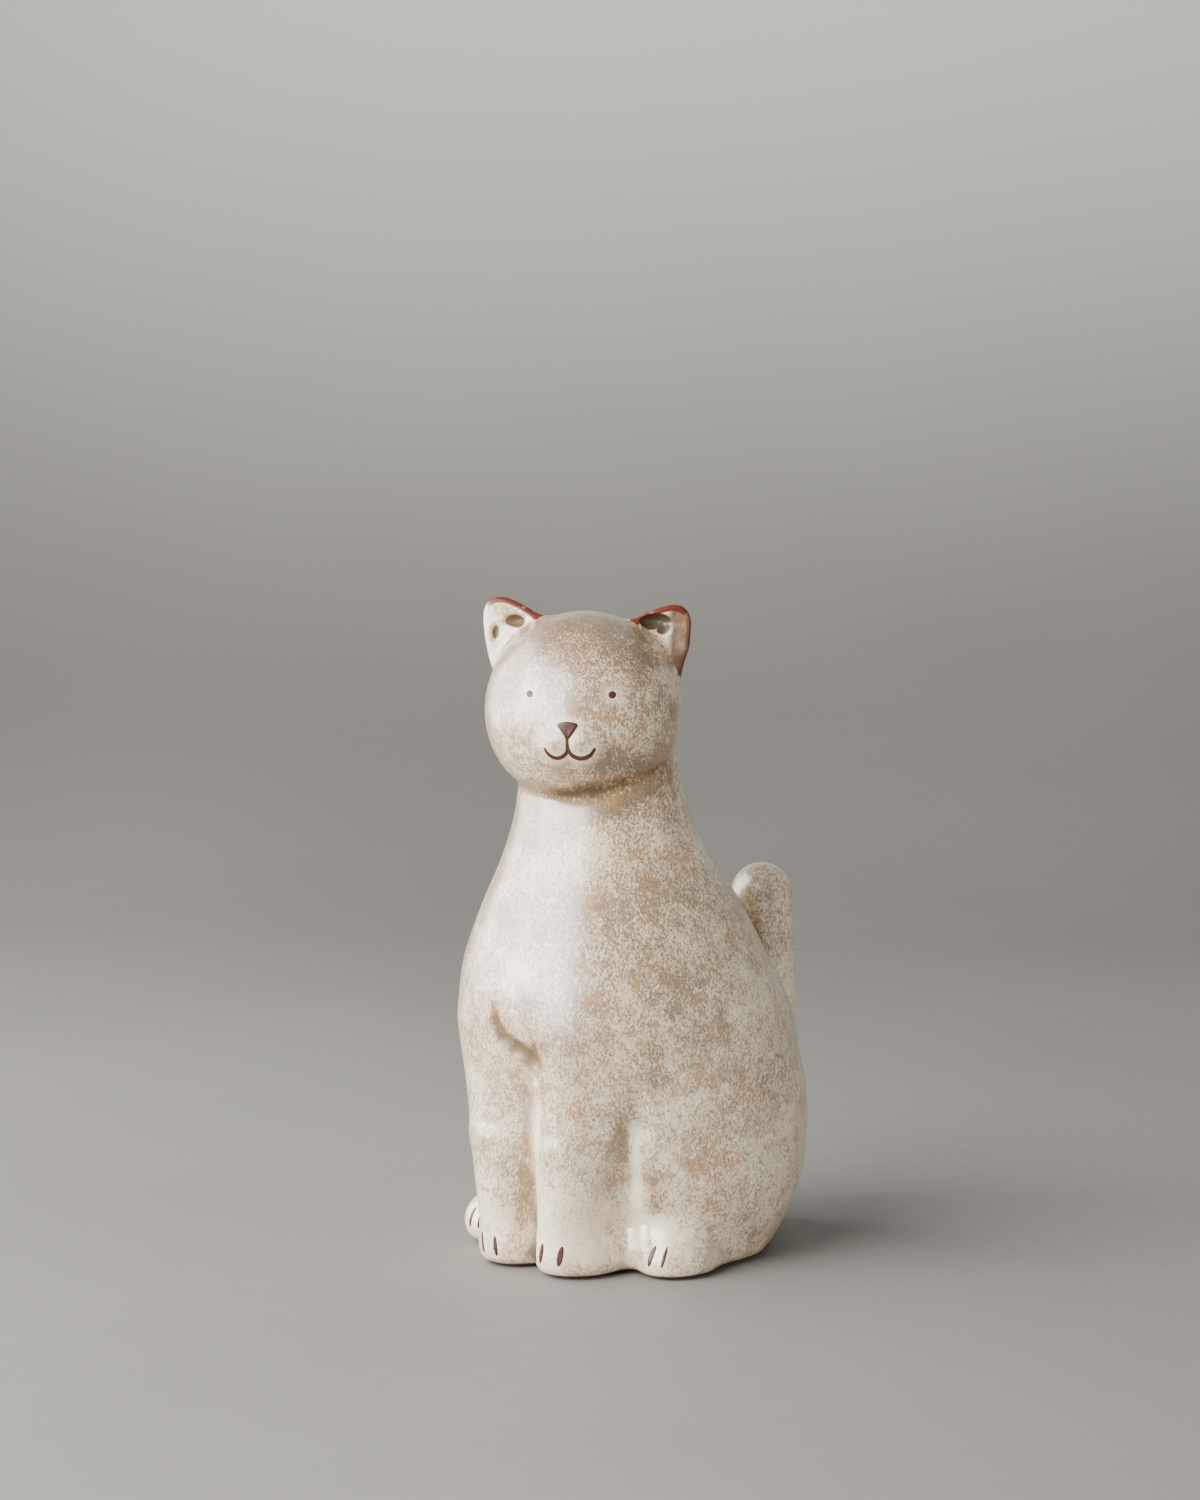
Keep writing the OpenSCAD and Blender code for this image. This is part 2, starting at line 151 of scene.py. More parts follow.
# Folds where the chest meets the top of the forelegs: x, y, z, radius
CHEST_FOLD = [[(-4.5, -65.4, 90, 0.6), (-3.6, -64.6, 84, 1.6), (-1.4, -63.7, 79.5, 2.0),
               (4.5, -63.3, 76.2, 2.5), (10.6, -63.2, 73.4, 2.9)],
              [(14.6, -64.8, 82, 0.8), (12.9, -64.0, 77.4, 1.9), (10.6, -63.2, 73.4, 2.9)],
              [(9.4, -64, 71, 3.0), (3, -63.5, 60, 5.0)]]
# Where the forelegs meet, their gap, the groove behind each one and the dent in a hind paw
LEG_MIDDLE = -1.8
LEG_GAP = [(-1.8, -58, 12, 3.0), (-2, -60, 22, 5.6), (-1.2, -61, 40, 6.8), (1, -62.2, 56, 6.6),
           (4, -63.8, 67, 5.2)]
HAUNCH_GROOVE = [(40, -40.5, 66, 1.0), (36.5, -40, 50, 4.0), (31.5, -40.5, 32, 6.5),
                 (29.5, -38.5, 16, 7.0), (30, -38.5, 8, 5.0)]
HIND_DENT = [(32.2, -30.6, 17.5, 0.7), (34.8, -33.0, 10.5, 1.1)]
# The head's frame: where its centre is, and how far it turns to the cat's left. Its other
# shapes are ellipsoids in that frame, and the cheeks are mirrored at x = CHEEK_MIDDLE.
HEAD = np.float32((0, -25, 187))
HEAD_TURN = 33
SKULL = (0, 0, 0), (32.3, 32, 31)
JAW = (0, -1.5, -5), (30.5, 30.5, 28)
CHEEK = (4.2, -27.6, -10.6), (6, 4.4, 5.2)
CHEEK_MIDDLE = 0.4


def section_table():
    """The trunk's sections joined by cubics, a row for every TABLE_STEP of height."""
    z, v = SECTIONS[:, 0], SECTIONS[:, 1:]
    n = len(z)
    slopes = np.stack([(v[min(i + 1, n - 1)] - v[max(i - 1, 0)])
                       / (z[min(i + 1, n - 1)] - z[max(i - 1, 0)]) for i in range(n)])
    at = np.linspace(z[0], z[-1], round((z[-1] - z[0]) / TABLE_STEP) + 1)
    i = np.clip(np.searchsorted(z, at, side="right") - 1, 0, n - 2)
    h = (z[i + 1] - z[i])[:, None]
    t = ((at - z[i]) / h[:, 0])[:, None]
    u = 1 - t
    return (v[i] * (1 + 2 * t) * u * u + v[i + 1] * (3 - 2 * t) * t * t
            + h * t * u * (slopes[i] * u - slopes[i + 1] * t)).astype(np.float32)


TABLE = section_table()


def torso(p):
    """The pear-shaped trunk, from the oval section at each point's height."""
    t = np.clip((p[..., 2] - SECTIONS[0, 0]) / TABLE_STEP, 0, len(TABLE) - 1.001)
    i = t.astype(np.int32)
    f = (t - i)[..., None]
    row = TABLE[i] * (1 - f) + TABLE[i + 1] * f
    a, b = row[..., 0], row[..., 1]
    x, y = p[..., 0] / a, (p[..., 1] - row[..., 2]) / b
    k = np.sqrt(x * x + y * y)
    g = np.sqrt((x / a) ** 2 + (y / b) ** 2)
    # the estimate fails near the middle, where any depth will do, and 0.9 keeps its slope under 1
    core = 0.3
    d = np.where(k < core, (core - 1) * np.minimum(a, b), k * (k - 1) / np.maximum(g, 1e-6))
    return smax(0.9 * d, p[..., 2] - NECK_TOP, 6)


def foreleg(q):
    """A foreleg with an oval section, from shoulder to ankle, with a bend at the knee."""
    return smin(*rods(q * FORELEG_SQUEEZE, FORELEG), 1)


def cast_body(p):
    """The body without its flat foot."""
    q = both_sides(p)
    fore = both_sides(p, LEG_MIDDLE)
    d = smin(torso(p), ball(q, *CHEST), 20)
    d = smin(d, foreleg(fore), 8)
    d = smin(d, ball(q, *HAUNCH), 8)
    d = carve(d, p, LEG_GAP, 2.5)
    d = carve(d, q, HAUNCH_GROOVE, 4)
    for ridge in CHEST_FOLD:
        d = carve(d, p, ridge, 2.2)
    d = smin(d, ball(fore, *FRONT_PAW), 8)
    d = smin(d, *rods(q, HIND_FOOT), 6)
    d = smin(d, ball(p, *LEFT_HIND_PAW), 8)
    d = smin(d, ball(p, *RIGHT_HIND_PAW), 8)
    return carve(d, q, HIND_DENT, 1.8)


def body(p):
    return smax(cast_body(p), -p[..., 2], 4)


def head_frame(p):
    return turn(p - HEAD, -HEAD_TURN)


def head(q):
    """q is in the head's own frame, where the cat looks along -y."""
    d = smin(ball(q, *SKULL), ball(q, *JAW), 5)
    return smin(d, ball(both_sides(q, CHEEK_MIDDLE), *CHEEK), 4)


# Each ear: centre in the head's frame, angle of the tip, size, turn of its plane, and how far its
# outline is drawn out at three corners, towards the tip, and to sharper corners
EARS = {"left_ear": ((24.1, 2.5, 20.3), 52, 11.7, 14, (0.155, 0.09, 0.033)),
        "right_ear": ((-24.0, 2.5, 22.8), 126, 11.7, -14, (0.15, 0.05, 0.02))}
# RIM is half the clay's thickness at an ear's rim. In front the ear is hollowed as a bowl, which
# is BOWL_DEPTH deep and comes BOWL_LEVEL in front of the ear's plane at a share of the way out.
RIM = 2.2
BOWL_DEPTH = 1.5
BOWL_LEVEL = 1.9
BOWL_SHARE = 0.78
# Pressed hollows inside each ear, in the head's frame: centre and radii
DIMPLES = {"left_ear": [((24.4, 0.2, 27.6), (5.6, 3.6, 2.5)), ((26.6, 0.6, 25.6), (2.6, 3.0, 2.6))],
           "right_ear": [((-24.0, 0.6, 27.3), (3.9, 3.0, 2.0)), ((-30.2, 0.8, 23.6), (1.5, 2.9, 3.1))]}


def ear_plane(q, name):
    """Distance out from the rim, depth in front of the plane, the angle round the ear from its
    tip, the share of the way to the rim, and the distance to the cat's left."""
    centre, tip, size, yaw, (corners, lean, sharp) = EARS[name]
    w = turn(q - np.float32(centre), -yaw)
    a = np.arctan2(w[..., 2], w[..., 0]) - math.radians(tip)
    r = np.sqrt(w[..., 0] ** 2 + w[..., 2] ** 2)
    edge = size * (1 + corners * np.cos(3 * a) + lean * np.cos(a) + sharp * np.cos(6 * a))
    return (r / edge - 1) * edge * 0.95, -w[..., 1], a, r / edge, w[..., 0]


def ear(q, name):
    out, front, _, s, _ = ear_plane(q, name)
    plate = np.sqrt(np.maximum(out + RIM, 0) ** 2 + front ** 2) - RIM
    bowl = BOWL_LEVEL - BOWL_DEPTH * (1 - (s / BOWL_SHARE) ** 2)
    d = smax(plate, np.where(s < 1, front - bowl, -4) * 0.8, 0.9)
    for centre, radii in DIMPLES[name]:
        d = smax(d, -ball(q, centre, radii), 1.3)
    return d


def parts_of(p):
    """The distance to each ceramic piece's own shape."""
    q = head_frame(p)
    d = {"body": body(p), "head": head(q), "tail": np.minimum.reduce(rods(p, TAIL))}
    for name in EARS:
        d[name] = ear(q, name)
    return d


# How widely the glaze softens each join, and how deep a groove it leaves round the neck
NECK_JOIN, EAR_JOIN, TAIL_JOIN = 3, 4.2, 4
NECK_GROOVE = 0.4


def fused(d):
    """All the ceramic as one glazed surface, from the distance to each piece."""
    f = smin(d["body"], d["head"], NECK_JOIN)
    f = f + NECK_GROOVE * np.exp(-(d["body"] ** 2 + d["head"] ** 2) / 8)
    for name in EARS:
        f = smin(f, d[name], EAR_JOIN)
    return smin(f, d["tail"], TAIL_JOIN)


def figure(p):
    return fused(parts_of(p))


# ------------------------------------------------------------------ marks

# Toe lines: x, y, z, bearing from straight ahead, sideways lean, half width
TOES = {"front_left_toes": [(8.8, -55.5, 8.5, -8, 0.2, 0.9), (16.3, -54.2, 8.5, 26, 0.18, 1.0),
                            (4, -52.5, 8, -40, 0, 0.6)],
        "front_right_toes": [(-18.6, -55, 8, -22, -0.2, 0.55), (-12.2, -55.4, 7.6, 12, -0.1, 0.7)],
        "hind_left_toes": [(36.8, -32.6, 8, 3, 0.2, 0.9), (41.2, -31, 8, 32, 0.24, 0.55)],
        "hind_right_toes": [(-41, -37.5, 10, -10, 0.15, 0.6), (-37, -37.7, 10, 10, 0.15, 0.5)]}
TOE_HALF = 3.4   # half a toe line's length
TOE_REACH = 9    # how far in and out of the paw its outline is followed
# The face's marks, in the head's frame
EYES = {"left_eye": 14.3, "right_eye": -12.7}
EYE_Z = 5.6
EYE_RADIUS = 1.2
EYE_FRONT, MUZZLE_FRONT = -15, -20  # each mark is kept in front of this y
# The nose is a rounded triangle: an arc over the top, cut by a slanting side on each hand
NOSE = (0.4, -5.2)
NOSE_ARC = 6.4, 8.7          # how far below the nose the arc's centre is, and its radius
NOSE_SIDES = (215, 325)      # the way each side faces, in degrees from the cat's left
NOSE_SIDE, NOSE_CORNER = 2.4, 1.3
# Brush strokes of the mouth and of the line under the nose: points x, z, and the half widths
# spread evenly along them
LIPS = [([(-7.3, -11.9), (-6.4, -13.4), (-4.9, -14.6), (-3.1, -15.0), (-1.3, -14.3), (-0.1, -13.1),
          (0.4, -12.2)], (0.46, 0.66, 0.74, 0.72, 0.70)),
        ([(0.4, -12.2), (0.9, -13.1), (2.1, -14.3), (4.0, -15.0), (6.1, -14.7), (7.9, -13.5),
          (9.0, -11.8)], (0.74, 0.80, 0.84, 0.76, 0.50)),
        ([(0.3, -7.4), (0.2, -9.5), (0.4, -12.4)], (0.85, 0.60, 0.75))]


def toe_line(p, line):
    """Distance outside a toe line's long thin outline."""
    x, y, z, bearing, lean, half_width = line
    b = math.radians(bearing)
    across = (p[..., 0] - x) * math.cos(b) + (p[..., 1] - y) * math.sin(b)
    out = (p[..., 0] - x) * math.sin(b) - (p[..., 1] - y) * math.cos(b)
    up = (p[..., 2] - z) / TOE_HALF
    across = across - lean * np.clip(up, -1, 1) * TOE_HALF
    width = half_width * np.sqrt(np.maximum(1 - up * up, 0))
    d = np.where(np.abs(up) < 1, np.abs(across) - width,
                 np.sqrt(across ** 2 + ((np.abs(up) - 1) * TOE_HALF) ** 2))
    return np.maximum(np.maximum(d, -out - TOE_REACH), out - TOE_REACH)


def toe_marks(lines):
    """The distance outside the nearest of some toe lines, as a function of p."""
    return lambda p: np.minimum.reduce([toe_line(p, line) for line in lines])


all_toe_marks = toe_marks([line for lines in TOES.values() for line in lines])


def smooth_path(points, per=6):
    """A Catmull-Rom curve through the points."""
    pts = np.array([points[0], *points, points[-1]], float)
    out = []
    for i in range(1, len(pts) - 2):
        for t in np.linspace(0, 1, per, endpoint=False):
            a, b, c, d = pts[i - 1:i + 3]
            out.append(0.5 * (2 * b + (c - a) * t + (2 * a - 5 * b + 4 * c - d) * t * t
                              + (3 * b - a - 3 * c + d) * t ** 3))
    return np.array([*out, pts[-2]])


def stroke(q, points, widths):
    """Distance outside a brush stroke in the face's x, z plane, with its width along its length."""
    path = smooth_path(points)
    w = np.interp(np.linspace(0, 1, len(path)), np.linspace(0, 1, len(widths)), widths)
    x = q[..., [0, 2]]
    best = np.full(x.shape[:-1], 99.0)
    for i in range(len(path) - 1):
        a, ab = path[i], path[i + 1] - path[i]
        t = np.clip(((x - a) @ ab) / (ab @ ab), 0, 1)
        best = np.minimum(best, norm(x - a - t[..., None] * ab) - (w[i] + (w[i + 1] - w[i]) * t))
    return best


def mouth(q):
    right, left, middle = (stroke(q, *line) for line in LIPS)
    d = smin(np.minimum(right, left), middle, 0.5)
    return np.maximum(d, q[..., 1] - MUZZLE_FRONT)


def nose(q):
    x, z = q[..., 0] - NOSE[0], q[..., 2] - NOSE[1]
    below, radius = NOSE_ARC
    d = np.sqrt(x * x + (z + below) ** 2) - radius
    for degrees in NOSE_SIDES:
        c, s = math.cos(math.radians(degrees)), math.sin(math.radians(degrees))
        d = smax(d, x * c + z * s - NOSE_SIDE, NOSE_CORNER)
    return np.maximum(d, q[..., 1] - MUZZLE_FRONT)


def eye(q, x):
    d = np.sqrt((q[..., 0] - x) ** 2 + (q[..., 2] - EYE_Z) ** 2) * 0.98 - EYE_RADIUS
    return np.maximum(d, q[..., 1] - EYE_FRONT)


# ------------------------------------------------------------------ pieces as fields

LAP = 0.25           # the glaze carries each piece this far over its neighbour
TOE_DIP = 0.28       # how deep the glaze sinks round a toe line
SLAB_INSET = 8.9     # from the body's outline at the floor to the recess for the slab
SLAB_TOP = 6.05
VENT_HOLLOW = (0, 10, 6), (26, 26, 30)  # the part of the hollow seen through the slab's vent
TAIL_LIFT = 0.05     # the tail ends this far above the floor


def slab_hole(p):
    """The recess that the base slab fills, from the body's outline at the floor."""
    at_floor = np.stack([p[..., 0], p[..., 1], np.zeros_like(p[..., 2])], -1)
    return smax(cast_body(at_floor) + SLAB_INSET, p[..., 2] - SLAB_TOP, 0.4)


def cut_at(d, name, neighbours):
    """Distance past the face where a piece meets its neighbours."""
    return np.maximum.reduce([d[name] - d[other] for other in neighbours]) - LAP


def body_piece(p):
    d = parts_of(p)
    f = fused(d) + TOE_DIP * np.exp(-np.maximum(all_toe_marks(p), 0) ** 2 / 1.4)
    f = np.maximum(f, cut_at(d, "body", ("head", "tail")))
    f = smax(f, -slab_hole(p), 0.3)
    return smax(f, -ball(p, *VENT_HOLLOW), 1.5)


def head_piece(p):
    d = parts_of(p)
    return np.maximum(fused(d), cut_at(d, "head", ("body", *EARS)))


def ear_piece(name):
    def field(p):
        d = parts_of(p)
        return np.maximum(fused(d), cut_at(d, name, ("head",)))
    return field


def tail_piece(p):
    d = parts_of(p)
    f = np.maximum(fused(d), cut_at(d, "tail", ("body",)))
    return smax(f, TAIL_LIFT - p[..., 2], 1.5)


def inlay(outline, top, depth=0.6, soft=0.3, in_head=True):
    """A thin patch that follows the glaze, from depth under it to top above it. outline is the
    distance outside the patch's edge, which is rounded by soft."""
    def field(p):
        q = head_frame(p) if in_head else p
        level = head(q) if in_head else body(p)
        return smax(smax(level - top, -depth - level, 0.1), outline(q), soft)
    return field


# ------------------------------------------------------------------ meshing


def sample(field, points, chunk=400000):
    """The field at each point, worked out a chunk at a time to save memory."""
    out = np.empty(len(points), np.float32)
    for i in range(0, len(points), chunk):
        out[i:i + chunk] = field(points[i:i + chunk])
    return out


def fine_values(field, lo, counts, h):
    """The field on a grid. Only points near the surface are worked out exactly: a coarse grid,
    with c cells to each of its own, finds them."""
    c = 4
    coarse_n = [(n - 1) // c + 2 for n in counts]
    axes = [lo[i] + np.arange(coarse_n[i]) * h * c for i in range(3)]
    grid = np.stack(np.meshgrid(*axes, indexing="ij"), -1).astype(np.float32)
    rough = sample(field, grid.reshape(-1, 3)).reshape(coarse_n)
    near = np.abs(rough) < h * c * 2.4
    rough = np.repeat(np.repeat(np.repeat(rough, c, 0), c, 1), c, 2)
    near = np.repeat(np.repeat(np.repeat(near, c, 0), c, 1), c, 2)
    cut = tuple(slice(c // 2, c // 2 + n) for n in counts)
    pad = [(0, max(0, c // 2 + n - rough.shape[i])) for i, n in enumerate(counts)]
    rough = np.pad(rough, pad, mode="edge")[cut].copy()
    near = np.pad(near, pad, mode="edge")[cut]
    at = np.argwhere(near)
    pts = (np.float32(lo) + at.astype(np.float32) * np.float32(h))
    rough[near] = sample(field, pts)
    return rough


def gradient(field, p, e):
    """The field's slope, from its values a distance e to either side."""
    g = np.empty_like(p)
    for k in range(3):
        o = np.zeros(3, np.float32)
        o[k] = e
        g[:, k] = sample(field, p + o) - sample(field, p - o)
    return g / (2 * e)


def way_out(field, p):
    """The direction at right angles to the surface, away from the clay."""
    g = gradient(field, p, 0.3)
    return g / np.maximum(norm(g), 1e-6)[:, None]


def crossings(v, axis):
    """The grid edges along axis that the surface crosses, away from the grid's border: where
    each one starts, where on it the surface is, and whether it starts in the clay."""
    start, end = [slice(None)] * 3, [slice(None)] * 3
    start[axis], end[axis] = slice(0, -1), slice(1, None)
    va, vb = v[tuple(start)], v[tuple(end)]
    cross = (va < 0) != (vb < 0)
    for k in range(3):
        if k != axis:
            for border in (0, -1):
                face = [slice(None)] * 3
                face[k] = border
                cross[tuple(face)] = False
    at = np.argwhere(cross)
    x, y = va[cross].astype(float), vb[cross].astype(float)
    where = at.astype(float)
    where[:, axis] += x / (x - y)
    return at, where, x < 0


def surface(field, lo, hi, h):
    """Vertices and quads of the field's zero surface by surface nets, pulled onto the surface."""
    lo = np.float32(lo) - 2 * h
    counts = np.ceil((np.float32(hi) + 2 * h - lo) / h).astype(int) + 1
    v = fine_values(field, lo, counts, h)
    cells = np.array(v.shape) - 1
    total = np.zeros((int(np.prod(cells)), 3))
    count = np.zeros(int(np.prod(cells)))
    quads = []
    # every grid edge that the surface crosses gives a quad between the four cells round it
    for axis in range(3):
        other = [k for k in range(3) if k != axis]
        at, where, from_clay = crossings(v, axis)
        ids = []
        for du, dv in ((0, 0), (-1, 0), (-1, -1), (0, -1)):
            cell = at.copy()
            cell[:, other[0]] += du
            cell[:, other[1]] += dv
            index = (cell[:, 0] * cells[1] + cell[:, 1]) * cells[2] + cell[:, 2]
            count += np.bincount(index, minlength=len(count))
            for k in range(3):
                total[:, k] += np.bincount(index, where[:, k], minlength=len(count))
            ids.append(index)
        quad = np.stack(ids, 1)
        turned = from_clay if axis == 1 else ~from_clay
        quad[turned] = quad[turned][:, ::-1]
        quads.append(quad)
    # a cell's vertex starts at the mean of its crossings, and three Newton steps finish it
    used = np.flatnonzero(count)
    number = np.full(len(count), -1)
    number[used] = np.arange(len(used))
    faces = number[np.concatenate(quads)]
    p = (total[used] / count[used, None] * h + lo).astype(np.float32)
    for _ in range(3):
        g = gradient(field, p, 0.15 * h)
        d = sample(field, p)
        step = d / np.maximum((g * g).sum(1), 0.2)
        p -= np.clip(step, -0.6 * h, 0.6 * h)[:, None] * g
    return p, faces


# ------------------------------------------------------------------ what the glaze has to know

# Where more brown is painted: from, to, radius, strength. Most are stains in the glaze. The ones under
# the jaw, down the gap between the forelegs, along the groove in front of the haunch and in the hind
# paw's dent are also painted shade in those hollows.
STAINS_AND_SHADE = [((8, -44, 156), (21, -35, 156), 7.5, 1.1), ((24, -30, 158), (27, -20, 162), 5.5, 1.0),
          ((-5, -49.5, 14), (-4.2, -49.5, 34), 3.2, 1.2), ((-2.2, -51, 40), (3.6, -57, 62), 3.0, 1.1),
          ((36.5, -31.5, 34), (36, -30, 25), 4.2, 1.2), ((30.8, -40, 52), (25.6, -35.5, 27), 4, 0.5),
          ((25, -51, 56), (30, -46, 57), 4.5, 0.6), ((41, -38, 78), (43, -35, 66), 4.5, 0.8),
          ((33, -30.6, 13.5), (34, -31, 10), 1.3, 1.0)]
# Painted highlights, pale strips along the lit edges of the forelegs, the haunch and the top of a hind
# paw: from, to, radius
PAINTED_HIGHLIGHT_STRIPS = [((10.5, -59, 66), (8.2, -56.8, 48), 1.7), ((8.2, -56.8, 48), (5.5, -53.5, 22), 1.9),
        ((33, -36, 52), (30.4, -33, 24), 2.0), ((30, -31.5, 14), (33, -29, 18.5), 2.2),
        ((33, -29, 18.5), (40, -28, 17), 3.0)]
# How far above the glaze a crease is looked for, with its share, and how deep an edge is
CREASE_REACH = ((2.5, 0.35), (6, 0.35), (13, 0.3))
EDGE_REACH = 5


def crease_and_edge(p):
    """How deep in a crease each point lies, and how sharp an edge it is on."""
    out = way_out(figure, p)
    crease = sum(share * np.clip(1 - sample(figure, p + out * np.float32(h)) / h, 0, 1)
                 for h, share in CREASE_REACH)
    edge = np.clip(1 + sample(figure, p - out * np.float32(EDGE_REACH)) / EDGE_REACH, 0, 1)
    return crease, edge


def chin_line(p, apart):
    """The dark line under the chin, strongest in front and fading to the cat's right, the lit side:
    partly dark glaze in the join, partly a painted shadow under the head. apart is the distance from
    the join of head and body."""
    strong = 0.3 + 0.95 * np.exp(-((p[:, 0] - 14) / 12) ** 2) * step01(-p[:, 1], 5, 25)
    return np.exp(-apart / (0.7 + 1.7 * strong)) * strong


def stained_and_shaded(p, apart):
    """The brown stains, some of them painted shade as well, and a broad band along the cat's left of
    the neck join, which is painted shadow under the head over a brown stain.
    """
    stain_and_shade = np.zeros(len(p), np.float32)
    for a, b, radius, strength in STAINS_AND_SHADE:
        stain_and_shade = np.maximum(stain_and_shade, strength * np.exp(-(limb(p, a, b, 0, 0) / radius) ** 2))
    # painted shadow under the head, strongest on the cat's left front, away from the light
    beside = step01(p[:, 0], -8, 8) * step01(-p[:, 1], 0, 20)
    return np.maximum(stain_and_shade, (0.25 + 0.75 * beside) * np.exp(-(apart / 6) ** 2))


def crowned(p, q, d):
    """Where fine brown lies on the crown of the head, and where the chin and, thinly, the chest are
    made darker towards the front.
    """
    crown = 1.5 * step01(q[:, 2], 4, 22) * step01(-d["head"], -3, 0) * step01(d["body"], 0, 3)
    chin = np.exp(-((q[:, 0] - 7) / 15) ** 2 - ((q[:, 2] + 17) / 8) ** 2) * step01(-q[:, 1], 5, 20)
    chest = 0.5 * step01(-p[:, 1], 5, 35) * step01(p[:, 2], 50, 95)
    return np.maximum.reduce([crown, 1.8 * chin, chest])


def painted_highlights(p):
    pale = np.zeros(len(p), np.float32)
    for a, b, radius in PAINTED_HIGHLIGHT_STRIPS:
        pale = np.maximum(pale, np.exp(-(limb(p, a, b, 0, 0) / radius) ** 4))
    return pale


def folded(p):
    """The floor of the chest's upper folds."""
    fold = np.minimum.reduce([rod for ridge in CHEST_FOLD[:2] for rod in rods(p, ridge)])
    return np.exp(-np.maximum(fold - 0.6, 0) / 1.6)


def attributes(p):
    """Every attribute that all the glazed pieces have."""
    crease, edge = crease_and_edge(p)
    d = parts_of(p)
    apart = np.maximum(np.abs(d["body"]), np.abs(d["head"]))
    paws = step01(-p[:, 1], 12, 32) * (1 - step01(p[:, 2], 10, 42))
    return {"crease": crease, "edge": edge, "chin_stain_and_shadow": chin_line(p, apart),
            "stain_and_shade": stained_and_shaded(p, apart), "crown": crowned(p, head_frame(p), d),
            "paws": paws, "pale": painted_highlights(p), "fold": folded(p)}


def halo(d):
    """The glaze drawn back round a mark, at distance d outside it."""
    return {"mark": np.exp(-np.maximum(d, 0) ** 2 / 3)}


def near_toes(p):
    return halo(all_toe_marks(p))


def near_face(p):
    q = head_frame(p)
    return halo(np.minimum.reduce([mouth(q), nose(q), *(eye(q, x) for x in EYES.values())]))


def ear_marks(name):
    """Where an ear shows its dark upper rim, its lower rim, its inner face and its hollows."""
    def values(p):
        q = head_frame(p)
        _, front, a, s, x = ear_plane(q, name)
        a = (a + math.pi) % (2 * math.pi) - math.pi
        # the upper rim runs from the tip towards the middle of the head
        top = step01(a if name == "left_ear" else -a, -0.28, 0.12)
        rim = step01(s, 0.80, 0.88) * step01(front, -1.2, 0.6)
        low = rim * (1 - top)
        if name == "left_ear":
            inner = step01(x, 2.5, 5.5) * step01(front, -0.8, 0.6)
        else:
            # the right ear's lower rim is broad and shows only on its outer side
            inner = step01(0.86 - s, 0, 0.12) * step01(front, -1.5, 0.3)
            broad = step01(s, 0.66, 0.78) * step01(front, -1.2, 0.6)
            low = np.maximum(0.2 * low, broad * step01(a, 0.75, 1.2))
        pit = np.minimum.reduce([ball(q, centre, np.float32(radii) + np.float32(0.2))
                                 for centre, radii in DIMPLES[name]])
        return {"rim": rim * top, "rim_low": low, "inner": inner,
                "pit": step01(-pit, -0.25, 0.12)}
    return values


def with_glaze(*more):
    """The glaze's attributes together with those of each function in more."""
    def values(p):
        out = attributes(p)
        for m in more:
            out.update(m(p))
        return out
    return values


# ------------------------------------------------------------------ materials


